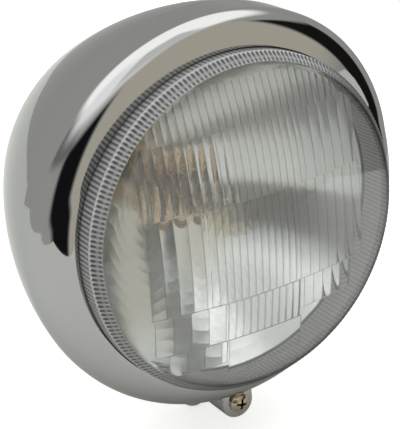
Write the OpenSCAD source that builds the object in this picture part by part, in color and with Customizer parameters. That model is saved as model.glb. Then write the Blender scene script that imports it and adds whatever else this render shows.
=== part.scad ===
// Round headlight for a motorcycle, with a shallow brow over a fluted glass lens.
// Frame: the origin is on the mounting stud's axis at the flat foot of the saddle, +Z is up
// and the lamp looks along -Y. Sizes are millimetres. A "set" is a distance measured
// backwards along the lamp's axis from the outer corner of the lens.

/* [Lens] */
// Outer radius of the glass
lens_r = 73; // [65:0.5:80]
// Width of the knurled chamfer, across the lamp's axis
knurl_w = 3.5; // [2:0.1:6]
// Length of the knurled chamfer, along the lamp's axis
knurl_len = 5; // [3:0.1:8]
// Number of grooves round the knurled chamfer
knurl_count = 225; // [120:1:240]
// Depth of the grooves
knurl_depth = 0.4; // [0.2:0.05:0.7]
// Rise of the domed front above the chamfer
dome_rise = 12; // [6:0.5:20]
// Thickness of the glass
glass_t = 4; // [2.5:0.1:6]
// Width of one upright flute inside the lens
flute_pitch = 3.3; // [2.5:0.1:6]
// Depth of the flutes
flute_depth = 0.4; // [0.2:0.05:0.8]
// Half width of the fluted field, beyond which the glass is plain
flute_field = 50; // [30:1:60]
// Length of the smooth side wall behind the chamfer
lens_wall_len = 11.2; // [8:0.1:16]
// How far the lens's rear flange stands out from the side wall
lens_flange_w = 4; // [3:0.1:6]
// Thickness of the lens's rear flange
lens_flange_t = 2.8; // [2:0.1:5]

/* [Casing] */
// Thickness of the pressed steel
sheet_t = 1.2; // [0.8:0.1:2]
// Gap between the glass and the edge of the opening
opening_gap = 0.6; // [0.3:0.1:1.5]
// Set of the opening's front edge
opening_set = 8; // [6:0.1:9.5]
// Largest radius of the casing
shoulder_r = 88.3; // [84:0.1:96]
// Set of the casing's widest circle
shoulder_set = 26; // [24:0.5:27.5]
// Set of the seam between the bezel and the bucket
seam_set = 28; // [27.5:0.1:34]
// Length of the bucket's collar inside the bezel
collar_len = 7; // [4:0.5:8]
// Gap between the collar and the bezel, across the lamp's axis
collar_gap = 1.1; // [0.9:0.1:2]
// Drop of the casing's radius where the bucket turns into its bowl
taper_drop = 20.6; // [16:0.1:26]
// Length of the tapered side, from the widest circle to the bowl
taper_len = 66; // [58:1:76]
// Power of the side's curve: 1 is a cone, 2 a parabola
taper_power = 1.5; // [1.3:0.05:1.8]

/* [Brow] */
// Forward lean of the brow's lip
brow_tilt = 4.7; // [3:0.1:7]
// How much smaller the brow's cylinder is than the casing
brow_drop = 0.4; // [0.2:0.1:1]
// Radius of the brow's lip
brow_lip_r = 83.2; // [81:0.1:85]
// Set of the lip, where it crosses the lamp's mid height
brow_lip_set = 11; // [9:0.1:12]
// Width of the lip's rolled edge
brow_roll_w = 1.7; // [1:0.1:3]
// Depth of the groove inside the lip
brow_roll_depth = 0.3; // [0.2:0.1:1]
// How much further forward the brow's band is at the glass than at the lip
brow_band_rise = 1.6; // [0:0.1:2]
// Length of the brow's rounding, from the lip back to its cylinder
brow_round_len = 8; // [6:0.5:12]

/* [Bezel screw] */
// Set of the lug's front face
lug_set = 20; // [17:0.5:22]
// Distance from the lamp's axis to the screw
lug_drop = 92.2; // [91.5:0.1:95]
// Radius of the lug's round end
lug_r = 7.8; // [7:0.1:10]
// Length of the bucket's own lug behind the seam
rear_lug_len = 7; // [5:0.5:12]
// Diameter of the bezel screw's thread
screw_d = 5; // [4:0.5:6]
// Diameter of the screw's head
screw_head_d = 9.4; // [8:0.1:10]
// Height of the screw's head
screw_head_h = 3.6; // [2.5:0.1:5]
// Clearance round the screw in its holes, on the radius
screw_clear = 0.25; // [0.1:0.05:0.4]

/* [Light unit] */
// Thickness of the gasket in front of the lens flange
gasket_t = 1.2; // [0.6:0.1:1.6]
// Thickness of the sealant between glass and reflector
seal_t = 0.8; // [0.5:0.1:1.5]
// Thickness of the reflector's steel
reflector_t = 1; // [0.6:0.1:1.5]
// Focal length of the reflector
focal_len = 26; // [24:0.5:30]
// Radius of the bulb hole in the reflector
bulb_hole_r = 19; // [17:0.5:20]
// Number of spring clips behind the light unit
clip_count = 5; // [3:1:8]
// Width of a spring clip
clip_w = 12; // [6:1:16]

/* [Bulb] */
// Radius of the bulb's glass
bulb_r = 8.6; // [8:0.1:9]
// Length of the bulb's glass in front of its flange
bulb_len = 56; // [50:1:60]
// Radius of the bulb's flange
bulb_flange_r = 21.5; // [20:0.5:22]
// Radius of the bulb's metal cap
bulb_cap_r = 11; // [10:0.5:12]
// Length of the cap behind the flange
bulb_cap_len = 14; // [10:1:18]
// Width of a contact blade
blade_w = 8; // [6:0.5:8.5]
// Length of a contact blade
blade_len = 9; // [7:0.5:12]

/* [Mount] */
// Set of the mounting stud
stud_set = 62; // [58:1:66]
// Diameter of the stud's thread
stud_d = 10; // [8:1:12]
// Depth of the recess round the stud in the saddle's foot
foot_recess = 1; // [0.5:0.1:1.5]
// Length of the stud below the saddle
stud_len = 22; // [18:1:36]
// Height of the saddle at its front edge
saddle_front_h = 4; // [3:0.5:8]
// Radius of the saddle
saddle_r = 16; // [13:0.5:18]
// Width of the stud's head, across the flats
hex_af = 17; // [15:0.5:19]
// Radius of the cable hole in the grommet
cable_r = 4.5; // [3:0.5:5.5]
// Angle of the cable hole below the lamp's axis
cable_angle = 40; // [32:1:45]

/* [Hidden] */
$fn = 96;
// Small overlap that keeps cuts clean
eps = 0.01;
// Clearance between pieces that only lie against each other
lie = 0.1;
// Angle between the points of an arc
arc_step = 7.5;

open_r = lens_r + opening_gap;
corner_r = lens_r - knurl_w;
dome_r = (corner_r * corner_r + dome_rise * dome_rise) / (2 * dome_rise);
apex_set = -knurl_len - dome_rise;
lens_flange_r = lens_r + lens_flange_w;
lens_back_set = lens_wall_len + lens_flange_t;
inner_wall_r = lens_r - glass_t;

// Distance from the lamp's axis to the casing at a set behind its widest circle
function taper_r(set) = shoulder_r - taper_drop * pow((set - shoulder_set) / taper_len, taper_power);
bowl_set = shoulder_set + taper_len;
bowl_edge_r = shoulder_r - taper_drop;
bowl_slope = taper_drop * taper_power / taper_len;
bowl_centre_set = bowl_set - bowl_slope * bowl_edge_r;
bowl_r = norm([bowl_edge_r, bowl_set - bowl_centre_set]);
bowl_start = atan2(bowl_set - bowl_centre_set, bowl_edge_r);

saddle_front_r = taper_r(stud_set - saddle_r);
axis_h = saddle_front_r + saddle_front_h;

unit_seal_set = lens_back_set + seal_t;
unit_back_set = unit_seal_set + reflector_t;
dish_r = inner_wall_r - 1;
vertex_set = unit_seal_set + dish_r * dish_r / (4 * focal_len);
function dish_set(r) = vertex_set - r * r / (4 * focal_len);
holder_r = bulb_hole_r + 6;
holder_set = dish_set(bulb_hole_r) + reflector_t * 1.4;
bulb_flange_t = 1;
flange_set = holder_set + 3;
cap_back_set = flange_set + bulb_flange_t + bulb_cap_len;
insulator_len = 6;
blade_set = cap_back_set + insulator_len;
blade_t = 0.8;
filament_set = vertex_set - focal_len;

ledge_t = 1.2;
clip_gap = 2.6;
ledge_set = unit_back_set + clip_gap;

collar_r = shoulder_r - sheet_t - collar_gap;
collar_set = seam_set - collar_len;

head_t = 6.4;
stud_clear = 0.3;

// Moves a shape from the lamp's own frame (x, down, set) into the part's frame
module lamp(set = 0) {
    translate([0, set - stud_set, axis_h]) rotate([-90, 0, 0]) children();
}

module ring(r_in, r_out, set, len) {
    translate([0, 0, set]) difference() {
        cylinder(r = r_out, h = len);
        translate([0, 0, -eps]) cylinder(r = r_in, h = len + 2 * eps);
    }
}

// Outline of the bezel's front, from the opening to the widest circle and the seam
function front_arc(inset) = [for (a = [90 : -arc_step : 0])
    [open_r + (shoulder_r - open_r - inset) * cos(a),
     shoulder_set - (shoulder_set - opening_set - inset) * sin(a)]];

module bezel_solid(inset) {
    rotate_extrude() polygon(concat([[0, opening_set + inset]], front_arc(inset),
        [[shoulder_r - inset, seam_set + eps], [0, seam_set + eps]]));
}

// The brow is a round-edged drum that leans forward, so that it stands out of the front
// over the upper half and sinks into it below
module brow_solid(inset) {
    drum_r = shoulder_r - brow_drop;
    round_set = brow_lip_set + brow_round_len;
    foot = brow_lip_set + brow_roll_depth;
    outer = [for (a = [90 : -arc_step * 2 : 0])
        [brow_lip_r + (drum_r - brow_lip_r - inset) * cos(a),
         round_set - (round_set - brow_lip_set - inset) * sin(a)]];
    translate([0, 0, shoulder_set]) rotate([brow_tilt, 0, 0]) translate([0, 0, -shoulder_set])
        rotate_extrude() polygon(concat(
            [[0, foot - brow_band_rise + inset],
             [open_r, foot - brow_band_rise + inset],
             [brow_lip_r - brow_roll_w, foot + inset]],
            outer,
            [[drum_r - inset, seam_set + 12], [0, seam_set + 12]]));
}

// A lug with a round end, hanging below the casing
module lug_solid(set, len) {
    translate([0, 0, set]) {
        translate([0, lug_drop, 0]) cylinder(r = lug_r, h = len);
        translate([-lug_r, lug_drop - lug_r, 0]) cube([2 * lug_r, lug_r, len]);
    }
}

module screw_hole(set, len) {
    translate([0, lug_drop, set]) cylinder(r = screw_d / 2 + screw_clear, h = len);
}

module bezel() {
    color("silver") lamp() difference() {
        union() {
            bezel_solid(0);
            brow_solid(0);
            lug_solid(lug_set, seam_set - lug_set);
        }
        bezel_solid(sheet_t);
        brow_solid(sheet_t);
        cylinder(r = open_r, h = seam_set);
        screw_hole(lug_set - 1, seam_set - lug_set + 2);
        translate([0, 0, seam_set]) cylinder(r = 2 * shoulder_r, h = 2 * shoulder_r);
    }
}

// Outline of the bucket's side and bowl, from the seam to the lamp's axis
taper_steps = 10;
function bucket_curve(inset) = concat(
    [for (i = [0 : taper_steps - 1])
        let (set = seam_set + (bowl_set - seam_set) * i / taper_steps)
        [taper_r(set) - inset, max(set, seam_set + inset)]],
    [for (a = [bowl_start : (90 - bowl_start) / 8 : 90 - eps])
        [(bowl_r - inset) * cos(a), bowl_centre_set + (bowl_r - inset) * sin(a)]],
    [[0, bowl_centre_set + bowl_r - inset]]);

module bucket_solid(inset) {
    rotate_extrude() polygon(concat([[0, seam_set + inset]], bucket_curve(inset)));
}

module stud_hole(clear) {
    translate([0, 0, -stud_len]) cylinder(d = stud_d + 2 * clear, h = axis_h);
}

// Moves a shape from the cable hole's own frame, with its axis out through the bowl
module cable_port() {
    lamp(bowl_centre_set) rotate([-cable_angle, 0, 0]) translate([0, 0, bowl_r]) children();
}
port_r = cable_r + 4;

module bucket() {
    color("silver") difference() {
        lamp() difference() {
            union() {
                bucket_solid(0);
                ring(collar_r - sheet_t, collar_r, collar_set, collar_len + sheet_t);
                lug_solid(seam_set, rear_lug_len);
            }
            bucket_solid(sheet_t);
            translate([0, 0, collar_set - eps])
                cylinder(r = collar_r - sheet_t, h = collar_len + 2 * sheet_t);
            screw_hole(seam_set - 1, rear_lug_len + 2);
        }
        stud_hole(stud_clear);
        cable_port() translate([0, 0, -6]) cylinder(r = port_r, h = 12);
    }
}

// Set of the lens's domed outer face at a radius
function dome_set(r) = apex_set + dome_r - sqrt(dome_r * dome_r - r * r);

module lens_body() {
    dome_steps = 12;
    rotate_extrude() polygon(concat(
        [for (i = [0 : dome_steps]) let (r = corner_r * i / dome_steps) [r, dome_set(r)]],
        [[lens_r, 0], [lens_r, lens_wall_len], [lens_flange_r, lens_wall_len],
         [lens_flange_r, lens_back_set], [0, lens_back_set]]));
}

// One square bar on edge per groove, laid along the chamfer
module knurl_grooves() {
    slope = atan2(knurl_len, knurl_w);
    bar_len = 1.3 * norm([knurl_len, knurl_w]);
    bar_w = knurl_depth * sqrt(2);
    for (i = [0 : knurl_count - 1])
        rotate([0, 0, i * 360 / knurl_count])
            translate([(lens_r + corner_r) / 2, 0, -knurl_len / 2])
                rotate([0, -slope, 0])
                    rotate([45, 0, 0])
                        cube([bar_len, bar_w, bar_w], center = true);
}

// Hollow behind the lens. Its front face is turned about a cross axis through the dome's
// centre, so that each flute runs upright over the dome
module lens_hollow() {
    turn = 140;
    plain_step = 4;
    beyond = 1;
    centre_set = apex_set + dome_r;
    hollow_r = dome_r - glass_t;
    rear_reach = centre_set - lens_back_set - beyond;
    side = inner_wall_r + beyond;
    count = floor(flute_field / flute_pitch);
    edge = count * flute_pitch + plain_step / 2;
    function reach(x) = sqrt(hollow_r * hollow_r - x * x);
    intersection() {
        cylinder(r = inner_wall_r, h = 4 * lens_r, center = true);
        translate([0, 0, centre_set])
            rotate([0, -90, 0])
                rotate([0, 0, 180 - turn / 2])
                    rotate_extrude(angle = turn) polygon(concat(
                        [[rear_reach, side], [rear_reach, -side]],
                        [for (x = [-side : plain_step : -edge]) [reach(x), x]],
                        [for (i = [-2 * count : 2 * count]) let (x = i * flute_pitch / 2)
                            [reach(x) - abs(i % 2) * flute_depth, x]],
                        [for (x = [edge : plain_step : side]) [reach(x), x]]));
    }
}

module lens() {
    color("lightcyan") lamp() difference() {
        lens_body();
        knurl_grooves();
        lens_hollow();
    }
}

module lens_gasket() {
    seat_in = open_r + 0.4;
    color("dimgray") lamp()
        ring(seat_in, lens_flange_r, lens_wall_len - gasket_t, gasket_t);
}

module lens_seal() {
    color("gray") lamp() ring(inner_wall_r + 1, lens_flange_r - 1, lens_back_set, seal_t);
}

// The dish is a paraboloid: its rear face follows its front face one thickness behind
dish_steps = 12;
module reflector() {
    color("whitesmoke") lamp() rotate_extrude() polygon(concat(
        [[lens_flange_r, unit_seal_set], [lens_flange_r, unit_back_set]],
        [for (i = [0 : dish_steps])
            let (r = dish_r + reflector_t + (bulb_hole_r - dish_r - reflector_t) * i / dish_steps)
            [r, max(dish_set(r) + reflector_t * 1.4, unit_back_set)]],
        [for (i = [dish_steps : -1 : 0])
            let (r = dish_r + (bulb_hole_r - dish_r) * i / dish_steps)
            [r, dish_set(r)]]));
}

// Ring inside the bezel behind the light unit, which the spring clips push against
module clip_ledge() {
    wall = (shoulder_r - open_r - sheet_t)
        * sqrt(1 - pow((shoulder_set - ledge_set) / (shoulder_set - opening_set - sheet_t), 2));
    color("gainsboro") lamp()
        ring(lens_flange_r + 5, open_r + wall - lie, ledge_set, ledge_t);
}

module unit_clips() {
    clip_t = 0.8;
    low = unit_back_set;
    high = ledge_set;
    r_in = lens_flange_r - 4;
    r_out = lens_flange_r + 6.5;
    color("goldenrod") lamp() for (i = [0 : clip_count - 1])
        rotate([0, 0, 270 + (i + 0.5) * 360 / clip_count]) translate([0, clip_w / 2, 0])
            rotate([90, 0, 0]) linear_extrude(clip_w) polygon([
                [r_in, low], [r_in + 3, low], [r_out - 3, high - clip_t], [r_out, high - clip_t],
                [r_out, high], [r_out - 3.4, high], [r_in + 2.6, low + clip_t],
                [r_in, low + clip_t]]);
}

// Plate riveted inside the top of the bucket's collar: the bezel's ledge hooks behind it
module hook_plate() {
    plate_w = 18;
    plate_t = 1.5;
    top = collar_r - sheet_t - lie;
    front = ledge_set - plate_t - lie;
    color("gainsboro") lamp() intersection() {
        translate([-plate_w / 2, 0, 0]) mirror([0, 1, 0]) rotate([90, 0, 90])
            linear_extrude(plate_w) polygon([
                [top - plate_t, seam_set - 1], [top, seam_set - 1], [top, collar_set + 1],
                [lens_flange_r + 4.3, ledge_set + ledge_t + 2],
                [lens_flange_r + 4.3, front + plate_t], [top - 1.5, front + plate_t],
                [top - 1.5, front], [lens_flange_r + 2.8, front],
                [lens_flange_r + 2.8, ledge_set + ledge_t + 2.6], [top - plate_t, collar_set + 2]]);
        cylinder(r = top, h = seam_set);
    }
}

module bulb_holder() {
    color("silver") lamp() rotate_extrude() polygon([
        [bulb_hole_r, holder_set], [holder_r, holder_set], [holder_r, flange_set + 6],
        [holder_r - 1.2, flange_set + 6], [holder_r - 1.2, flange_set], [bulb_hole_r, flange_set]]);
}

module bulb_base() {
    neck_len = 12;
    color("lightgray") lamp() difference() {
        union() {
            ring(bulb_cap_r - 1, bulb_cap_r, flange_set - neck_len, neck_len);
            translate([0, 0, flange_set]) cylinder(r = bulb_flange_r, h = bulb_flange_t);
            translate([0, 0, flange_set + bulb_flange_t]) cylinder(r = bulb_cap_r, h = bulb_cap_len);
        }
        translate([0, 0, flange_set - 1]) cylinder(r = bulb_cap_r - 1, h = 1 + eps);
    }
}

// The glass stands on the flange inside the cap's neck and ends in a round tip
module bulb_glass() {
    wall = 1;
    tip = flange_set - bulb_len;
    color("azure") lamp() difference() {
        union() {
            translate([0, 0, tip + bulb_r]) cylinder(r = bulb_r, h = bulb_len - bulb_r);
            translate([0, 0, tip + bulb_r]) sphere(r = bulb_r);
        }
        translate([0, 0, tip + bulb_r]) cylinder(r = bulb_r - wall, h = bulb_len - bulb_r - 3);
        translate([0, 0, tip + bulb_r]) sphere(r = bulb_r - wall);
    }
}

coil_r = 0.9;
coil_len = 5;
dip_set = filament_set - 8;
module bulb_filaments() {
    wire_r = 0.45;
    spread = 4.8;
    foot = flange_set - 3;
    color("dimgray") lamp() {
        for (set = [filament_set, dip_set]) translate([0, 0, set]) cylinder(r = coil_r, h = coil_len);
        for (x = [-1, 1]) {
            translate([x * spread, 0, filament_set + coil_len / 2])
                cylinder(r = wire_r, h = foot - filament_set - coil_len / 2);
            translate([x * spread, 0, filament_set + coil_len / 2 + wire_r]) rotate([0, -90 * x, 0])
                cylinder(r = wire_r, h = spread - coil_r / 2);
        }
        translate([0, -spread, dip_set + coil_len / 2])
            cylinder(r = wire_r, h = foot - dip_set - coil_len / 2);
        translate([0, -spread, dip_set + coil_len / 2 + wire_r]) rotate([-90, 0, 0])
            cylinder(r = wire_r, h = spread - coil_r / 2);
    }
}

// Half-round cup under the dipped filament
module bulb_shield() {
    cup_r = 3.6;
    color("silver") lamp() difference() {
        translate([0, 0, dip_set - 2]) cylinder(r = cup_r, h = coil_len + 3);
        translate([0, 0, dip_set - 1]) cylinder(r = cup_r - 0.6, h = coil_len + 3);
        translate([-cup_r - 1, -cup_r - 2, dip_set - 3])
            cube([2 * cup_r + 2, cup_r + 1, coil_len + 6]);
    }
}

module bulb_insulator() {
    color("tan") lamp() translate([0, 0, cap_back_set]) cylinder(r = bulb_cap_r - 0.5, h = insulator_len);
}

module bulb_contacts() {
    spread = 6;
    color("gold") lamp() translate([0, 0, blade_set]) {
        translate([-blade_w / 2, -spread - blade_t / 2, 0]) cube([blade_w, blade_t, blade_len]);
        for (x = [-1, 1]) translate([x * spread - blade_t / 2, -blade_w / 2 + 1, 0])
            cube([blade_t, blade_w, blade_len]);
    }
}

// Wire bail that presses the bulb's flange into its holder
module bulb_spring() {
    wire_r = 0.7;
    bail_r = bulb_cap_r + 4;
    bail_set = flange_set + bulb_flange_t + wire_r;
    color("silver") lamp() translate([0, 0, bail_set]) {
        rotate_extrude() translate([bail_r, 0]) circle(r = wire_r, $fn = 16);
        for (x = [-1, 1]) translate([x * bail_r, 0, 0]) rotate([0, 90 * x, 0])
            cylinder(r = wire_r, h = holder_r - 1.3 - bail_r);
    }
}

module dust_boot() {
    boot_t = 2;
    grip_r = holder_r + lie;
    back = blade_set - 1;
    waist_r = bulb_cap_r - 0.5 + lie;
    color("darkslategray") lamp() rotate_extrude() polygon([
        [grip_r, flange_set - 1], [grip_r + boot_t, flange_set - 1],
        [grip_r + boot_t, flange_set + 7], [bulb_cap_r + boot_t + 5, flange_set + 12],
        [bulb_cap_r + boot_t + 4, back - 4], [waist_r + boot_t + 1, back], [waist_r, back],
        [waist_r, back - boot_t], [bulb_cap_r + 3, back - boot_t - 3],
        [bulb_cap_r + 4, flange_set + 11], [grip_r - 2, flange_set + 6 + lie],
        [grip_r, flange_set + 6 + lie]]);
}

module cross_recess(depth) {
    arm_l = screw_head_d * 0.52;
    arm_w = screw_head_d * 0.11;
    for (a = [0, 90]) rotate([0, 0, a]) translate([-arm_l / 2, -arm_w / 2, 0]) cube([arm_l, arm_w, depth]);
    cylinder(d1 = arm_w * 1.8, d2 = arm_w, h = depth + 0.4);
}

module bezel_screw() {
    dome = screw_head_d * 0.62;
    face = screw_head_h * 0.45;
    tip = rear_lug_len + seam_set + 5;
    color("khaki") lamp() translate([0, lug_drop, 0]) difference() {
        union() {
            intersection() {
                translate([0, 0, lug_set - screw_head_h]) cylinder(d = screw_head_d, h = screw_head_h);
                translate([0, 0, lug_set - screw_head_h + dome]) sphere(r = dome);
            }
            translate([0, 0, lug_set - face]) cylinder(d = screw_head_d, h = face);
            translate([0, 0, lug_set - eps]) cylinder(d = screw_d, h = tip - lug_set);
        }
        rotate([0, 0, 12]) translate([0, 0, lug_set - screw_head_h - eps]) cross_recess(screw_head_h * 0.6);
    }
}

module lug_nut() {
    nut_af = 8;
    nut_h = 4;
    color("khaki") lamp() translate([0, lug_drop, seam_set + rear_lug_len]) difference() {
        cylinder(d = nut_af / cos(30), h = nut_h, $fn = 6);
        translate([0, 0, -eps]) cylinder(r = screw_d / 2 + 0.02, h = nut_h + 2 * eps);
    }
}

module cable_grommet() {
    flange_w = 3;
    flange_t = 2;
    groove_r = port_r - lie;
    bowl_in_r = bowl_r - sheet_t;
    sag = bowl_in_r - sqrt(bowl_in_r * bowl_in_r - pow(port_r + flange_w, 2));
    bite = sheet_t + sag + 0.3;
    color("dimgray") cable_port() rotate_extrude() polygon([
        [cable_r, -bite - flange_t], [port_r + flange_w, -bite - flange_t],
        [port_r + flange_w, -bite], [groove_r, -bite], [groove_r, 0.3],
        [port_r + flange_w, 0.3], [port_r + flange_w - 1, flange_t + 0.3],
        [cable_r, flange_t + 1]]);
}

// Flat-topped block that follows the bucket's curved floor under the stud's head
plate_r = saddle_r - 3;
plate_top = axis_h - taper_r(stud_set + plate_r) + sheet_t + 2;
module stud_plate() {
    color("gainsboro") difference() {
        intersection() {
            cylinder(r = plate_r, h = plate_top);
            lamp() bucket_solid(sheet_t + lie);
        }
        stud_hole(stud_clear);
    }
}

module mount_stud() {
    color("silver") {
        translate([0, 0, plate_top]) cylinder(d = hex_af / cos(30), h = head_t, $fn = 6);
        cylinder(d = stud_d * 0.9, h = plate_top + eps);
        translate([0, 0, -stud_len + 1]) cylinder(d = stud_d, h = stud_len - 1);
        translate([0, 0, -stud_len]) cylinder(d1 = stud_d - 2, d2 = stud_d, h = 1);
    }
}

// Foot between the curved bucket and a flat bracket
module mount_saddle() {
    color("silver") difference() {
        cylinder(r = saddle_r, h = axis_h / 2);
        lamp() bucket_solid(-lie);
        stud_hole(stud_clear);
        translate([0, 0, -eps]) cylinder(d = stud_d + 5, h = foot_recess + eps);
    }
}

bezel();
bucket();
lens();
lens_gasket();
lens_seal();
reflector();
clip_ledge();
unit_clips();
hook_plate();
bulb_holder();
bulb_glass();
bulb_filaments();
bulb_shield();
bulb_base();
bulb_insulator();
bulb_contacts();
bulb_spring();
dust_boot();
bezel_screw();
lug_nut();
cable_grommet();
mount_stud();
stud_plate();
mount_saddle();
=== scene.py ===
import math

import bpy
import numpy as np
from mathutils import Matrix, Vector

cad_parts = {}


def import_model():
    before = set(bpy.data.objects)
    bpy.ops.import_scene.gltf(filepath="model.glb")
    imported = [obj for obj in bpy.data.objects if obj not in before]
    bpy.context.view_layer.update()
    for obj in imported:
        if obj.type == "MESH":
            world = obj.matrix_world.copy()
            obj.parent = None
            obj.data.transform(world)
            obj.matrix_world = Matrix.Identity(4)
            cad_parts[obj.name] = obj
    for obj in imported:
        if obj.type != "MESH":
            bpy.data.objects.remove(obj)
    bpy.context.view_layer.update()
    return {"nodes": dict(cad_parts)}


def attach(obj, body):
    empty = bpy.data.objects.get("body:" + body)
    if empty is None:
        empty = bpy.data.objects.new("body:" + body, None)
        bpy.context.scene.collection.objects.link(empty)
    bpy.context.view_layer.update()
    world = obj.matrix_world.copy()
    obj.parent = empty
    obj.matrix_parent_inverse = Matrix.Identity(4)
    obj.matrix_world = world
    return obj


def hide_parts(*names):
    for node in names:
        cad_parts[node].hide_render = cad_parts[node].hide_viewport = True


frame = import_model()

MM = 0.001

# Sizes in millimetres. A "set" is measured backwards along the lamp's axis, from the outer
# corner of the lens. The part's origin lies on the stud's axis.
STUD_SET = 62.0
AXIS_H = 88.864

# The knurl on the lens: the chamfer that carries it, how far it goes on along the side wall,
# and its ribs, which stand out to the side and to the front by these shares of their height
KNURL_W = 3.5
KNURL_LEN = 5.0
KNURL_SIDE_LEN = 7.0
KNURL_COUNT = 225
RIB_HEIGHT = 0.22
RIB_OUT = 0.82
RIB_FRONT = 0.57

# The lens: its side wall and the dome in front, the thickness of the glass, and the flange
# behind; the hollow inside is a little narrower in front than at the wall
LENS_R = 73.0
CORNER_R = LENS_R - KNURL_W
DOME_RISE = 12.0
DOME_R = (CORNER_R ** 2 + DOME_RISE ** 2) / (2 * DOME_RISE)
DOME_CENTRE = -KNURL_LEN - DOME_RISE + DOME_R
GLASS_T = 4.0
WALL_R = LENS_R - GLASS_T
HOLLOW_R = WALL_R - 1.5
LENS_WALL = 11.2
LENS_FLANGE_R = 77.0
LENS_BACK = 14.0

# Two strips of the glass that have a look of their own, with painted shade low on the right: the
# dome's rim inside the knurl, and the outer corner between chamfer and side wall, pale as a painted
# highlight
RIM_W = 3.2
EDGE_W = 0.6

# The bezel: its opening, its widest place, where it meets the bucket, the thickness of both
# sheets, and how far the sheet's inner surface stays clear of the opening
OPEN_R = 73.6
OPEN_SET = 8.0
SHOULDER_R = 88.3
SHOULDER_SET = 26.0
SEAM_SET = 28.0
SHEET_T = 1.2
LIP_STEP = 0.2

# The brow: a band round the glass that leans forward at the top and rolls over to the shoulder
BROW_SLOPE = math.tan(math.radians(4.7))
BAND_SET = 10.6
BAND_SLOPE = 0.05
ROLL_START = 74.0
ROLL_SHIFT = 7.0
ROLL_POWER = 1.5
BROW_BLEND = 0.4

# The bucket: its gap to the bezel, its taper behind the shoulder, and its bowl, part of a
# sphere that goes on from the end of the taper in the same direction
SEAM_GAP = 0.15
TAPER_DROP = 20.6
TAPER_LEN = 66.0
TAPER_POWER = 1.5
BOWL_SET = SHOULDER_SET + TAPER_LEN
BOWL_EDGE_R = SHOULDER_R - TAPER_DROP
BOWL_SLOPE = TAPER_DROP * TAPER_POWER / TAPER_LEN
BOWL_CENTRE = BOWL_SET - BOWL_SLOPE * BOWL_EDGE_R
BOWL_R = math.hypot(BOWL_EDGE_R, BOWL_SET - BOWL_CENTRE)

# The two lugs with their reach into the casing, and the cross of the screw between them, which
# has painted shade behind this set
LUG_SET = 20.0
LUG_DROP = 92.2
LUG_R = 7.8
LUG_REACH = 5.0
LUG_RIM = 0.8
LUG_GAP = 0.1
REAR_LUG_LEN = 7.0
REAR_LUG_RIM = 0.3
SCREW_DEEP_SET = 17.1
SCREW_CROSS_R = 2.7


def world(x, s, z):
    """Lamp sizes to a point in the part's frame: x right of the axis, s the set, z above the axis."""
    return (x * MM, (s - STUD_SET) * MM, (z + AXIS_H) * MM)


def mesh_piece(name, verts, faces, material, sharp=None, smooth=True):
    """Makes one object; edges that turn more than sharp degrees stay crisp."""
    mesh = bpy.data.meshes.new(name)
    mesh.from_pydata([tuple(v) for v in verts], [], [tuple(f) for f in faces])
    mesh.validate()
    for poly in mesh.polygons:
        poly.use_smooth = smooth
    if sharp:
        mesh.set_sharp_from_angle(angle=math.radians(sharp))
    mesh.update()
    piece = bpy.data.objects.new(name, mesh)
    bpy.context.collection.objects.link(piece)
    piece.data.materials.append(material)
    return piece


def grid_faces(rows, cols, wrap=True, flip=False):
    """Quads between the points of a grid; wrap joins its last column to its first, flip turns them."""
    faces = []
    last = cols if wrap else cols - 1
    for i in range(rows - 1):
        for j in range(last):
            a = i * cols + j
            b = i * cols + (j + 1) % cols
            quad = (a, b, b + cols, a + cols)
            faces.append(quad[::-1] if flip else quad)
    return faces


def closing_faces(rows, cols, flip=False):
    """Quads that join a wrapped grid's last row to its first."""
    base = (rows - 1) * cols
    faces = []
    for j in range(cols):
        k = (j + 1) % cols
        quad = (base + j, base + k, k, j)
        faces.append((quad[0], quad[3], quad[2], quad[1]) if flip else quad)
    return faces


def revolve(profile, segments):
    """Grid of points on a body of revolution: profile is a list of (radius, set)."""
    verts = []
    for r, s in profile:
        for j in range(segments):
            t = 2 * math.pi * j / segments
            verts.append(world(r * math.sin(t), s, r * math.cos(t)))
    return verts


# Materials


def grey(value):
    """A grey of three equal parts."""
    return (value, value, value)


# Depth of a bump in metres, and how far a plastic's colour strays from its middle
BUMP_HEIGHT = 0.0002
MOTTLE = 0.15

# Clear glass of the dome, of the ground walls and of the joins
DOME_CLEAR = (0.95, 0.97, 0.96)
WALL_CLEAR = (0.93, 0.95, 0.94)
JOIN_CLEAR = (0.90, 0.92, 0.91)

# The glass's edge has painted shade low on the right: the shade's colour, the place round the lens
# where that painted shade is deepest, and how far it reaches in over the dome
PAINTED_SHADE = grey(0.03)
SHADE_TURN = math.radians(125)
RIM_DARK_W = 1.5

# The knurl's ground glass and the painted shade in its grooves, and the two rows in which that
# painted shade is darkest: start, end and softness of each, as shares of the chamfer's width
KNURL_PLAIN = grey(0.39)
KNURL_GROOVE_SHADE = (0.02, 0.025, 0.02)
KNURL_ROWS = ((0.12, 0.34, 0.12), (0.55, 0.93, 0.14))

# The screw's plating, and the painted shade down in its cross
SCREW_TAN = (0.46, 0.40, 0.28)
SCREW_CROSS_SHADE = (0.03, 0.02, 0.012)


def new_material(name):
    """A new node material, its nodes, its links and its main shader."""
    material = bpy.data.materials.new(name)
    material.use_nodes = True
    nodes = material.node_tree.nodes
    links = material.node_tree.links
    return material, nodes, links, nodes["Principled BSDF"]


def noise(nodes, links, scale, detail=3.0):
    """A noise texture in the object's own space."""
    coord = nodes.new("ShaderNodeTexCoord")
    tex = nodes.new("ShaderNodeTexNoise")
    tex.inputs["Scale"].default_value = scale
    tex.inputs["Detail"].default_value = detail
    links.new(coord.outputs["Object"], tex.inputs["Vector"])
    return tex


def remap(nodes, links, source, low, high, to_low, to_high):
    """Carries the span low to high over to the span to_low to to_high."""
    node = nodes.new("ShaderNodeMapRange")
    node.inputs["From Min"].default_value = low
    node.inputs["From Max"].default_value = high
    node.inputs["To Min"].default_value = to_low
    node.inputs["To Max"].default_value = to_high
    links.new(source, node.inputs["Value"])
    return node.outputs["Result"]


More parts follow.
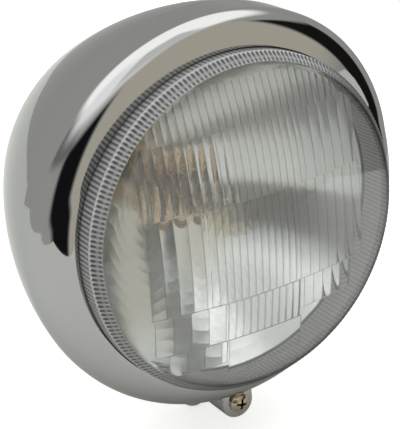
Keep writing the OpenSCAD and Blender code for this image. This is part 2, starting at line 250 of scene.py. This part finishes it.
def add_bump(nodes, links, shader, tex, strength):
    """Lets a noise texture roughen the surface a little."""
    node = nodes.new("ShaderNodeBump")
    node.inputs["Strength"].default_value = strength
    node.inputs["Distance"].default_value = BUMP_HEIGHT
    links.new(tex.outputs["Fac"], node.inputs["Height"])
    links.new(node.outputs["Normal"], shader.inputs["Normal"])


def metal(name, color, rough_low, rough_high, scale=60.0, bump=0.0, tint=None):
    """Metal whose roughness drifts between two values; tint is the colour of its edge reflection."""
    material, nodes, links, shader = new_material(name)
    shader.inputs["Base Color"].default_value = (*color, 1)
    shader.inputs["Metallic"].default_value = 1.0
    tex = noise(nodes, links, scale)
    links.new(remap(nodes, links, tex.outputs["Fac"], 0.35, 0.65, rough_low, rough_high),
              shader.inputs["Roughness"])
    if tint:
        shader.inputs["Specular Tint"].default_value = (*tint, 1)
    if bump:
        add_bump(nodes, links, shader, tex, bump)
    return material


def plastic(name, color, rough, scale=200.0, bump=0.1):
    """Rubber, resin or sealant with a slightly mottled colour."""
    material, nodes, links, shader = new_material(name)
    tex = noise(nodes, links, scale, 4.0)
    ramp = nodes.new("ShaderNodeValToRGB")
    ramp.color_ramp.elements[0].color = (*[c * (1 - MOTTLE) for c in color], 1)
    ramp.color_ramp.elements[1].color = (*[c * (1 + MOTTLE) for c in color], 1)
    links.new(tex.outputs["Fac"], ramp.inputs["Fac"])
    links.new(ramp.outputs["Color"], shader.inputs["Base Color"])
    shader.inputs["Roughness"].default_value = rough
    add_bump(nodes, links, shader, tex, bump)
    return material


class Sums:
    """Short forms for the sums that a shader makes."""

    def __init__(self, nodes, links):
        self.nodes, self.links = nodes, links

    def put(self, value, socket):
        """Sets a colour or a number on a socket, or links an output to it."""
        if isinstance(value, tuple):
            socket.default_value = (*value, 1)
        elif isinstance(value, (int, float)):
            socket.default_value = value
        else:
            self.links.new(value, socket)

    def calc(self, kind, a, b=None):
        """One sum, such as ADD or COSINE."""
        node = self.nodes.new("ShaderNodeMath")
        node.operation = kind
        self.put(a, node.inputs[0])
        if b is not None:
            self.put(b, node.inputs[1])
        return node.outputs[0]

    def step(self, value, edge, soft):
        """0 below the edge and 1 above it, with a soft change."""
        node = self.nodes.new("ShaderNodeMapRange")
        node.interpolation_type = "SMOOTHSTEP"
        node.inputs["From Min"].default_value = edge - soft / 2
        node.inputs["From Max"].default_value = edge + soft / 2
        self.links.new(value, node.inputs["Value"])
        return node.outputs["Result"]

    def between(self, value, low, high, soft):
        """1 between low and high, 0 outside, with soft changes."""
        fall = self.calc("SUBTRACT", 1.0, self.step(value, high, soft))
        return self.calc("MULTIPLY", self.step(value, low, soft), fall)

    def over(self, under, color, mask):
        """Lays a colour over another where the mask is 1."""
        mix = self.nodes.new("ShaderNodeMix")
        mix.data_type = "RGBA"
        self.put(under, mix.inputs["A"])
        self.put(color, mix.inputs["B"])
        self.put(mask, mix.inputs["Factor"])
        return mix.outputs["Result"]

    def lamp_place(self):
        """Radius from the lamp's axis in millimetres and turn round it in radians."""
        coord = self.nodes.new("ShaderNodeTexCoord")
        split = self.nodes.new("ShaderNodeSeparateXYZ")
        self.links.new(coord.outputs["Object"], split.inputs["Vector"])
        x = self.calc("DIVIDE", split.outputs["X"], MM)
        z = self.calc("SUBTRACT", self.calc("DIVIDE", split.outputs["Z"], MM), AXIS_H)
        square = self.calc("ADD", self.calc("MULTIPLY", x, x), self.calc("MULTIPLY", z, z))
        return self.calc("SQRT", square), self.calc("ARCTAN2", x, z)

    def ribs(self, turn):
        """1 on each crest of the knurl and -1 between them."""
        return self.calc("COSINE", self.calc("MULTIPLY", turn, KNURL_COUNT))

    def away(self, turn, level, soft):
        """1 low on the right of the lens, where shade is painted, and 0 round the rest of it."""
        toward = self.calc("COSINE", self.calc("SUBTRACT", turn, SHADE_TURN))
        return self.step(toward, level, soft)


def glass(name, color, rough=0.0, ground=None, share=0.75):
    """Clear glass; ground is the colour of a ground surface that hides a share of it."""
    material, nodes, links, shader = new_material(name)
    shader.inputs["Base Color"].default_value = (*color, 1)
    shader.inputs["Transmission Weight"].default_value = 1.0
    shader.inputs["IOR"].default_value = 1.5
    tex = noise(nodes, links, 40.0)
    links.new(remap(nodes, links, tex.outputs["Fac"], 0.3, 0.7, rough, rough + 0.01),
              shader.inputs["Roughness"])
    if ground:
        matt = nodes.new("ShaderNodeBsdfPrincipled")
        matt.name = "ground"
        matt.inputs["Base Color"].default_value = (*ground, 1)
        matt.inputs["Roughness"].default_value = 0.3
        mix = nodes.new("ShaderNodeMixShader")
        mix.inputs["Fac"].default_value = share
        links.new(shader.outputs["BSDF"], mix.inputs[1])
        links.new(matt.outputs["BSDF"], mix.inputs[2])
        links.new(mix.outputs["Shader"], nodes["Material Output"].inputs["Surface"])
    return material


def ground_glass(name, clear, rough, share):
    """Glass that is partly ground, with its nodes, its links and its sums."""
    material = glass(name, clear, rough, grey(0.5), share)
    nodes, links = material.node_tree.nodes, material.node_tree.links
    return material, nodes, links, Sums(nodes, links)


def knurl_glass():
    """Ground glass with painted shade in the grooves, in two rows with a plainer strip between, and
    painted shade low on the right.
    """
    material, nodes, links, sums = ground_glass("knurl_glass", WALL_CLEAR, 0.3, 0.85)
    radius, turn = sums.lamp_place()
    across = sums.calc("DIVIDE", sums.calc("SUBTRACT", radius, CORNER_R), KNURL_W)
    # painted shade in the knurl's grooves, deepest in two rows
    groove = sums.step(sums.ribs(turn), -0.1, 0.9)
    rows = sums.calc("MAXIMUM", *[sums.between(across, *row) for row in KNURL_ROWS])
    dark = sums.calc("MULTIPLY", groove, sums.calc("ADD", 0.35, sums.calc("MULTIPLY", rows, 0.6)))
    color = sums.over(KNURL_PLAIN, KNURL_GROOVE_SHADE, dark)
    # painted shade low on the right of the lens
    shade = sums.calc("MULTIPLY", sums.away(turn, 0.15, 0.6), 0.85)
    links.new(sums.over(color, PAINTED_SHADE, shade), nodes["ground"].inputs["Base Color"])
    return material


def ticked_glass(name, plain, dark, level, soft):
    """Ground wall of the lens with one tick of painted shade to each groove of the knurl."""
    material, nodes, links, sums = ground_glass(name, WALL_CLEAR, 0.3, 0.85)
    _radius, turn = sums.lamp_place()
    # painted shade ticks, one to each groove of the knurl
    color = sums.over(plain, dark, sums.step(sums.ribs(turn), level, soft))
    links.new(color, nodes["ground"].inputs["Base Color"])
    return material


def edge_glass():
    """Ground outer corner of the lens, pale as a painted highlight, with painted shade low on the
    right.
    """
    material, nodes, links, sums = ground_glass("edge_glass", JOIN_CLEAR, 0.1, 0.8)
    _radius, turn = sums.lamp_place()
    # pale ground corner as a painted highlight, with painted shade low on the right
    color = sums.over(grey(0.6), PAINTED_SHADE, sums.away(turn, 0.0, 0.5))
    links.new(color, nodes["ground"].inputs["Base Color"])
    return material


def rim_glass():
    """Clear rim of the dome with painted shade low on the right."""
    material = glass("rim_glass", DOME_CLEAR, 0.0, PAINTED_SHADE, 0.8)
    nodes, links = material.node_tree.nodes, material.node_tree.links
    sums = Sums(nodes, links)
    radius, turn = sums.lamp_place()
    # painted shade over the dome's rim, low on the right
    out = sums.step(radius, CORNER_R - RIM_DARK_W, 1.0)
    share = sums.calc("MULTIPLY", sums.away(turn, 0.15, 0.6), out)
    links.new(sums.calc("MULTIPLY", share, 0.96), nodes["Mix Shader"].inputs["Fac"])
    return material


def screw_metal():
    """Zinc plate with painted shade down in the cross."""
    material = metal("screw_plate", SCREW_TAN, 0.18, 0.32, 500.0, 0.3)
    nodes, links = material.node_tree.nodes, material.node_tree.links
    sums = Sums(nodes, links)
    split = nodes.new("ShaderNodeSeparateXYZ")
    links.new(nodes.new("ShaderNodeNewGeometry").outputs["Position"], split.inputs["Vector"])
    deep = sums.step(split.outputs["Y"], (SCREW_DEEP_SET - STUD_SET) * MM, 0.3 * MM)
    x = sums.calc("DIVIDE", split.outputs["X"], MM)
    z = sums.calc("SUBTRACT", sums.calc("DIVIDE", split.outputs["Z"], MM), AXIS_H - LUG_DROP)
    near = sums.calc("ADD", sums.calc("MULTIPLY", x, x), sums.calc("MULTIPLY", z, z))
    near = sums.calc("LESS_THAN", near, SCREW_CROSS_R ** 2)
    # painted shade down in the screw's cross
    color = sums.over(SCREW_TAN, SCREW_CROSS_SHADE, sums.calc("MULTIPLY", deep, near))
    links.new(color, nodes["Principled BSDF"].inputs["Base Color"])
    return material


CHROME = metal("chrome", (0.43, 0.435, 0.42), 0.03, 0.07, 40.0, tint=(0.75, 0.76, 0.75))
MIRROR = metal("reflector_aluminium", (0.81, 0.81, 0.79), 0.14, 0.18, 30.0)
STEEL = metal("pressed_steel", (0.62, 0.62, 0.61), 0.25, 0.4, 300.0, 0.2)
WARM = metal("warm_steel", (0.56, 0.43, 0.29), 0.2, 0.35, 300.0)
SCREW = screw_metal()
ZINC = metal("zinc_plate", (0.72, 0.66, 0.50), 0.18, 0.32, 500.0, 0.3)
WIRE = metal("wire", (0.42, 0.40, 0.38), 0.25, 0.4, 300.0)
BRASS = metal("brass", (0.80, 0.62, 0.32), 0.2, 0.35, 300.0, 0.1)
RUBBER = plastic("rubber", (0.03, 0.03, 0.033), 0.6)
PHENOLIC = plastic("phenolic", (0.20, 0.10, 0.05), 0.5)
SEALANT = plastic("sealant", (0.35, 0.35, 0.33), 0.7)
BULB_GLASS = glass("bulb_glass", (0.96, 0.92, 0.84))

# The materials of the lens, in the order of its slots
LENS_GLASSES = {
    "dome": glass("lens_glass", DOME_CLEAR, 0.0, (0.92, 0.94, 0.92), 0.085),
    "knurl": knurl_glass(),
    "wall": ticked_glass("wall_glass", grey(0.42), grey(0.13), 0.1, 0.9),
    "edge": edge_glass(),
    "join": glass("join_glass", JOIN_CLEAR, 0.1, (0.20, 0.21, 0.20), 0.4),
    "step": glass("step_glass", JOIN_CLEAR, 0.1, grey(0.8), 0.3),
    "ring": ticked_glass("ring_glass", (0.97, 0.98, 0.96), (0.62, 0.63, 0.62), 0.3, 0.8),
    "haze": glass("haze_glass", DOME_CLEAR, 0.0, (0.95, 0.97, 0.95), 0.27),
    "rim": rim_glass(),
}


def paint_nodes():
    """Gives each plain node of the frame its material."""
    finish = {
        "lens_gasket": RUBBER, "lens_seal": SEALANT, "reflector": MIRROR, "clip_ledge": STEEL,
        "unit_clips": STEEL, "hook_plate": STEEL, "bulb_holder": STEEL,
        "bulb_glass": BULB_GLASS, "bulb_filaments": WIRE, "bulb_shield": WIRE,
        "bulb_base": WARM, "bulb_insulator": PHENOLIC, "bulb_contacts": BRASS,
        "bulb_spring": WIRE, "dust_boot": RUBBER, "bezel_screw": SCREW, "lug_nut": ZINC,
        "cable_grommet": RUBBER, "mount_stud": ZINC, "stud_plate": STEEL,
        "mount_saddle": CHROME,
    }
    for node, material in finish.items():
        piece = frame["nodes"][node]
        for slot in piece.material_slots:
            slot.material = material


# The bezel, with its brow blended in


def soft_min(a, b, width):
    """The lesser of two values, blended where they differ by less than the width."""
    h = np.clip(0.5 + 0.5 * (b - a) / width, 0, 1)
    return b * (1 - h) + a * h - width * h * (1 - h)


def bezel_front(r, z):
    """Set of the bezel's outer surface at a radius, for a point that is z above the axis."""
    u = np.clip((r - OPEN_R) / (SHOULDER_R - OPEN_R), 0, 1)
    base = SHOULDER_SET - (SHOULDER_SET - OPEN_SET) * np.sqrt(1 - u * u)
    start = ROLL_START + ROLL_SHIFT * np.clip(z / r, 0, 1) ** ROLL_POWER
    v = np.clip((r - start) / (SHOULDER_R - start), 0, 1)
    roll = (SHOULDER_R - start) * (1 - np.sqrt(1 - v * v))
    brow = BAND_SET + BAND_SLOPE * (r - OPEN_R) + roll - BROW_SLOPE * z
    return soft_min(base, brow, BROW_BLEND)


def make_bezel():
    """The bezel's sheet: opening, outer surface, seam edge and inner surface.

    The inner surface needs only every third row.
    """
    segments = 240
    whole = OPEN_R + (SHOULDER_R - OPEN_R) * np.sin(np.linspace(0, math.pi / 2, 60))
    roll = np.linspace(ROLL_START + 1, SHOULDER_R - 1, 40)
    radii = np.unique(np.concatenate([whole, roll]))
    verts = []
    for j in range(segments):
        t = 2 * math.pi * j / segments
        sin_t, cos_t = math.sin(t), math.cos(t)
        s = bezel_front(radii, radii * cos_t)
        outer = [(r, v) for r, v in zip(radii, s)] + [(SHOULDER_R, SEAM_SET)]
        edge = [(OPEN_R, s[0] + SHEET_T)]
        inner = [(max(r - SHEET_T, OPEN_R + LIP_STEP), v + SHEET_T) for r, v in outer[6:-1:3]]
        ring = edge + outer + [(SHOULDER_R - SHEET_T, SEAM_SET)] + inner[::-1]
        verts.append([world(r * sin_t, v, r * cos_t) for r, v in ring])
    rows = len(verts[0])
    flat = [verts[j][i] for i in range(rows) for j in range(segments)]
    faces = grid_faces(rows, segments)
    faces += closing_faces(rows, segments)
    return mesh_piece("bezel_shell", flat, faces, CHROME, sharp=50)


def lug_outline(steps):
    """Outline of a lug seen from the front: a half round foot with straight sides up to the casing."""
    points = []
    for i in range(steps + 1):
        a = math.pi * i / steps
        points.append((LUG_R * math.cos(a), -LUG_DROP - LUG_R * math.sin(a)))
    top = LUG_REACH - SHOULDER_R
    return [(LUG_R, top)] + points + [(-LUG_R, top)]


def make_lug(name, start, end, rim):
    """Lug from one set to another; rim is the radius of its rounded front edge."""
    outline = lug_outline(28)
    centre = np.array([0.0, -LUG_DROP + 1])
    half = rim * 0.3
    levels = [(rim, start), (half, start + half), (0.0, start + rim), (0.0, end)]
    verts = []
    for inset, s in levels:
        for x, z in outline:
            d = np.array([x, z]) - centre
            p = centre + d * (1 - inset / max(np.linalg.norm(d), 1e-6))
            verts.append(world(p[0], s, p[1]))
    cols = len(outline)
    faces = grid_faces(len(levels), cols)
    faces.append(tuple(range(cols))[::-1])
    faces.append(tuple(range((len(levels) - 1) * cols, len(levels) * cols)))
    return mesh_piece(name, verts, faces, CHROME, sharp=40)


# The bucket


def taper_r(s):
    """Radius of the casing's side at a set behind the shoulder."""
    return SHOULDER_R - TAPER_DROP * ((s - SHOULDER_SET) / TAPER_LEN) ** TAPER_POWER


def bucket_profile(inset):
    """Side and bowl of the bucket, as radii and sets, an inset in from the outer surface.

    The bowl stops just short of the axis.
    """
    side = [(taper_r(s) - inset, s) for s in np.linspace(SEAM_SET + SEAM_GAP, BOWL_SET, 30)]
    first = math.atan2(BOWL_SET - BOWL_CENTRE, BOWL_EDGE_R)
    bowl = [((BOWL_R - inset) * math.cos(a), BOWL_CENTRE + (BOWL_R - inset) * math.sin(a))
            for a in np.linspace(first, math.pi / 2 - 0.002, 40)[1:]]
    return side + bowl


def make_bucket():
    """The bucket's sheet, open in front."""
    segments = 200
    outer = bucket_profile(0)
    inner = bucket_profile(SHEET_T)[::-1]
    verts = revolve(outer + inner, segments)
    rows = len(outer) + len(inner)
    faces = grid_faces(rows, segments, flip=True)
    faces += closing_faces(rows, segments, flip=True)
    return mesh_piece("bucket_shell", verts, faces, CHROME, sharp=40)


# The lens


# Moulded panels inside the lens: left, right, bottom and top edge, width and depth of one
# flute, slope of the panel from bottom to top
PANELS = (
    (-44, 44, 46, 64, 3.3, 0.22, 0.0),
    (-51, -17, 17, 46, 4.1, 0.28, 0.0),
    (-17, 22, 17, 46, 3.3, 0.20, 0.0),
    (22, 51, 17, 46, 5.2, 0.16, 0.0),
    (-51, -26, -25, 17, 5.7, 0.36, 0.0),
    (-26, 16, -25, 17, 3.3, 0.20, 0.0),
    (16, 51, -25, 17, 5.0, 0.16, 0.0),
    (-50, -19, -43, -25, 7.5, 0.40, 0.03),
    (-19, 16, -43, -25, 3.4, 0.22, -0.03),
    (18, 44, -39, -25, 5.0, 0.18, 0.03),
    (-44, -19, -54, -43, 7.5, 0.35, 0.06),
    (-18, 17, -60, -43, 35.0, 0.05, 0.04),
)

# Width of a join between flutes, height and width of the step at the foot of a panel, and the
# width over which the flutes fade out at the hollow's wall
JOIN_W = 0.28
PANEL_STEP = 0.12
STEP_W = 0.36
FADE_W = 1.5

# The upper panels are hazy from this place to the right, and the topmost all over
HAZE_LOW = 17
HAZE_LEFT = -12
HAZE_TOP = 40


def flute_height(x, z):
    """How far the lens's inner face stands back from the plain dome, in millimetres."""
    height = 0.0
    for left, right, low, high, width, depth, slope in PANELS:
        inside = (x >= left) & (x < right) & (z >= low) & (z < high)
        u = np.mod(x - left, width) / width
        flute = depth * (1 - (2 * u - 1) ** 2) + slope * (z - low) + PANEL_STEP
        height = np.where(inside, flute, height)
    return height


def panel_glass(x, z):
    """Which glass the fluted face has at a place: a join between flutes, a step, haze or plain."""
    for left, right, low, high, width, _depth, _slope in PANELS:
        if left <= x < right and low <= z < high:
            if z - low < STEP_W:
                return "step"
            u = (x - left) % width
            if min(u, width - u) < JOIN_W:
                return "join"
            if low >= HAZE_LOW and (x > HAZE_LEFT or low > HAZE_TOP):
                return "haze"
            return "dome"
    return "dome"


def inner_dome(r):
    """Set of the plain inner face at a radius."""
    return DOME_CENTRE - np.sqrt((DOME_R - GLASS_T) ** 2 - r * r)


def make_lens_inside():
    """Verts and faces of the fluted face: a grid with extra lines at each join and step."""
    line = 0.05
    pitch = 0.7
    xs = [np.arange(-HOLLOW_R, HOLLOW_R, pitch)]
    zs = [np.linspace(-HOLLOW_R + 0.01, HOLLOW_R - 0.01, 56)]
    for left, right, low, high, width, _depth, _slope in PANELS:
        joins = np.arange(left, right + 0.1, width)
        xs += [joins, joins - JOIN_W, joins + JOIN_W, np.array([right - line, right])]
        zs += [np.array([low - line, low, low + 0.35, high - 0.4, high - line, high])]
    xs = np.unique(np.round(np.concatenate(xs), 3))
    zs = np.unique(np.round(np.concatenate(zs), 3))
    xs = np.append(xs, HOLLOW_R)
    gx, gz = np.meshgrid(xs, zs)
    reach = np.sqrt(np.maximum(HOLLOW_R ** 2 - gz ** 2, 0))
    gx = np.clip(gx, -reach, reach)
    r = np.hypot(gx, gz)
    fade = np.clip((HOLLOW_R - r) / FADE_W, 0, 1)
    gs = inner_dome(np.minimum(r, HOLLOW_R)) + flute_height(gx, gz) * fade
    verts = [world(x, s, z) for x, s, z in zip(gx.ravel(), gs.ravel(), gz.ravel())]
    return verts, grid_faces(len(zs), len(xs), wrap=False, flip=True)


def lens_rows():
    """Rows round the lens from the dome to the hollow: radius, set and share of the ribs' height.

    The rows after the dome round off its corner with the chamfer.
    """
    dome_radii = [*np.linspace(0.5, CORNER_R - RIM_W, 9), CORNER_R - 0.9]
    rows = [(r, DOME_CENTRE - math.sqrt(DOME_R ** 2 - r * r), 0) for r in dome_radii]
    rows += [(CORNER_R - 0.45, -KNURL_LEN - 0.1, 0), (CORNER_R, -KNURL_LEN + 0.15, 0)]
    for t, rib in ((0.06, 0.4), (0.14, 1), (0.5, 1), (0.88, 1), (0.95, 0.8)):
        rows.append((CORNER_R + KNURL_W * t, -KNURL_LEN * (1 - t), rib))
    for s, rib in ((0.1, 0.5), (EDGE_W, 0.5), (KNURL_SIDE_LEN, 0.5), (KNURL_SIDE_LEN + 0.6, 0)):
        rows.append((LENS_R, s, rib))
    hollow_set = float(inner_dome(HOLLOW_R))
    for r, s in ((LENS_R, LENS_WALL), (LENS_FLANGE_R, LENS_WALL), (LENS_FLANGE_R, LENS_BACK),
                 (WALL_R, LENS_BACK), (WALL_R, -0.6), (WALL_R - 0.5, hollow_set + 0.25),
                 (HOLLOW_R, hollow_set)):
        rows.append((r, s, 0))
    return rows


def lens_glass_at(x, s, z):
    """Which glass the lens has at the middle of a face.

    The middles lie a little off the surfaces, so the limits do too.
    """
    r = math.hypot(x, z)
    if r < HOLLOW_R - 0.5 and s > inner_dome(r) - 0.5:
        return panel_glass(x, z)
    if r > CORNER_R - 0.2 and s < -0.5:
        return "knurl"
    if r > CORNER_R - RIM_W and s < 1 - KNURL_LEN:
        return "rim"
    if r > LENS_R - 0.5 and s < LENS_WALL:
        return "edge" if s < EDGE_W else "wall"
    if abs(r - WALL_R) < 0.6 and -2 < s < LENS_BACK - 0.1:
        return "ring"
    return "dome"


def make_lens():
    """The glass: its outer surface with the knurl, and the fluted face inside."""
    per_rib = 6
    segments = KNURL_COUNT * per_rib
    rows = lens_rows()
    verts = []
    for r, s, rib in rows:
        for j in range(segments):
            t = 2 * math.pi * j / segments
            wave = RIB_HEIGHT * rib * math.cos(2 * math.pi * j / per_rib)
            out = r + wave * RIB_OUT
            verts.append(world(out * math.sin(t), s - wave * RIB_FRONT, out * math.cos(t)))
    faces = grid_faces(len(rows), segments)
    faces.append(tuple(range(segments))[::-1])
    inside, inside_faces = make_lens_inside()
    start = len(verts)
    faces += [tuple(start + k for k in f) for f in inside_faces]
    glasses = list(LENS_GLASSES)
    lens = mesh_piece("lens_glass", verts + inside, faces, LENS_GLASSES["dome"], sharp=28)
    for name in glasses[1:]:
        lens.data.materials.append(LENS_GLASSES[name])
    for poly in lens.data.polygons:
        x, y, z = (place / MM for place in poly.center)
        poly.material_index = glasses.index(lens_glass_at(x, y + STUD_SET, z - AXIS_H))
    return lens


# The stage: a white table with a near front edge, under a wide overhead light


# Edges of the table in metres, and how much it glows for the camera, so that it looks white
TABLE_Z = -0.0222
TABLE_FRONT = -0.36
TABLE_LEFT = -0.66
TABLE_RIGHT = 0.40
TABLE_BACK = 2.4
TABLE_WHITE = (0.74, 0.745, 0.72)
TABLE_LIFT = 0.64


def make_table():
    """The table top, which is stage and no part of the lamp."""
    z = TABLE_Z
    verts = [(TABLE_LEFT, TABLE_FRONT, z), (TABLE_RIGHT, TABLE_FRONT, z),
             (TABLE_RIGHT, TABLE_BACK, z), (TABLE_LEFT, TABLE_BACK, z)]
    material, nodes, links, shader = new_material("table_white")
    shader.inputs["Base Color"].default_value = (*TABLE_WHITE, 1)
    shader.inputs["Roughness"].default_value = 0.9
    shader.inputs["Specular IOR Level"].default_value = 0.1
    path = nodes.new("ShaderNodeLightPath")
    shader.inputs["Emission Color"].default_value = (1, 1, 1, 1)
    links.new(remap(nodes, links, path.outputs["Is Camera Ray"], 0, 1, 0, TABLE_LIFT),
              shader.inputs["Emission Strength"])
    table = mesh_piece("table", verts, [(0, 1, 2, 3)], material, smooth=False)


# Each panel of the room, from the first painted to the last: edges in degrees round the lamp
# (0 in front, + to the right) and above the horizon, softness of those edges, colour
WALL = (0.57, 0.57, 0.56)
ROOM = (
    ("front_dark", (-66, -13), (-24, 20), (14, 10), (0.012, 0.012, 0.014)),
    ("left_shade", (-112, -60), (16, 34), (12, 8), grey(0.27)),
    ("front_wall", (-10, 41), (-60, 60), (6, 6), (0.74, 0.69, 0.60)),
    ("right_dark", (42, 88), (-32, 21), (7, 8), (0.015, 0.014, 0.013)),
    ("right_pale", (112, 155), (-40, 4), (10, 5), grey(0.5)),
)

# The overhead light begins at this height all round; two dimmer panels lie in it
OVERHEAD = (1.95, 1.95, 1.98)
OVERHEAD_EDGE = 42
OVERHEAD_SOFT = 14
OVERHEAD_PANELS = (
    ("front", (-95, 2), (OVERHEAD_EDGE - 10, 72), (30, 22), (1.55, 1.55, 1.6)),
    ("centre", (-34, 30), (OVERHEAD_EDGE - 4, 74), (14, 14), (1.0, 1.0, 1.02)),
)


def make_world():
    """The room as seen in reflections; the camera itself sees plain white."""
    sky = bpy.data.worlds.new("room")
    bpy.context.scene.world = sky
    sky.use_nodes = True
    nodes, links = sky.node_tree.nodes, sky.node_tree.links
    coord = nodes.new("ShaderNodeTexCoord")
    split = nodes.new("ShaderNodeSeparateXYZ")
    links.new(coord.outputs["Generated"], split.inputs["Vector"])

    sums = Sums(nodes, links)
    front = sums.calc("MULTIPLY", split.outputs["Y"], -1.0)
    turn = sums.calc("DEGREES", sums.calc("ARCTAN2", split.outputs["X"], front))
    rise = sums.calc("DEGREES", sums.calc("ARCSINE", split.outputs["Z"]))

    def paint(under, panels):
        for _name, turns, rises, soft, color in panels:
            mask = sums.calc("MULTIPLY", sums.between(turn, *turns, soft[0]),
                             sums.between(rise, *rises, soft[1]))
            under = sums.over(under, color, mask)
        return under

    result = paint(WALL, ROOM)
    result = sums.over(result, OVERHEAD, sums.step(rise, OVERHEAD_EDGE, OVERHEAD_SOFT))
    result = paint(result, OVERHEAD_PANELS)
    path = nodes.new("ShaderNodeLightPath")
    result = sums.over(result, (1.0, 1.0, 1.0), path.outputs["Is Camera Ray"])
    links.new(result, nodes["Background"].inputs["Color"])


# The camera, fitted to the circles of the lens and the bezel: its place in lamp sizes, the
# directions behind it and to its right, and its focal length and film width in millimetres
CAMERA_PLACE = (-294.1, -483.8, 243.2)
CAMERA_BACK = (-0.4526, -0.8040, 0.3857)
CAMERA_RIGHT = (0.8501, -0.5197, -0.0855)
CAMERA_LENS = 135
CAMERA_FILM_W = 36


def make_camera():
    """The camera at the place from which the photograph was taken."""
    back = Vector(CAMERA_BACK).normalized()
    up = back.cross(Vector(CAMERA_RIGHT)).normalized()
    right = up.cross(back)
    data = bpy.data.cameras.new("camera")
    data.sensor_fit = "HORIZONTAL"
    data.sensor_width = CAMERA_FILM_W
    data.lens = CAMERA_LENS
    camera = bpy.data.objects.new("camera", data)
    bpy.context.collection.objects.link(camera)
    place = Vector(world(*CAMERA_PLACE))
    turn = Matrix((right, up, back)).transposed().to_4x4()
    camera.matrix_world = Matrix.Translation(place) @ turn
    data.clip_start, data.clip_end = 0.01, 50
    bpy.context.scene.camera = camera


def build():
    """Paints the frame's nodes, makes every piece and hangs it on the root body in place of its node,
    and sets the stage.
    """
    bpy.context.scene.view_settings.view_transform = "Standard"
    paint_nodes()
    bezel = make_bezel()
    front_lug = make_lug("bezel_lug", LUG_SET, SEAM_SET, LUG_RIM)
    bucket = make_bucket()
    rear_lug = make_lug("bucket_lug", SEAM_SET + LUG_GAP, SEAM_SET + REAR_LUG_LEN, REAR_LUG_RIM)
    lens = make_lens()
    for piece, node in ((bezel, "bezel"), (front_lug, "bezel"), (bucket, "bucket"),
                        (rear_lug, "bucket"), (lens, "lens")):
        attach(piece, "root")
        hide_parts(node)
    make_table()
    make_world()
    make_camera()


build()
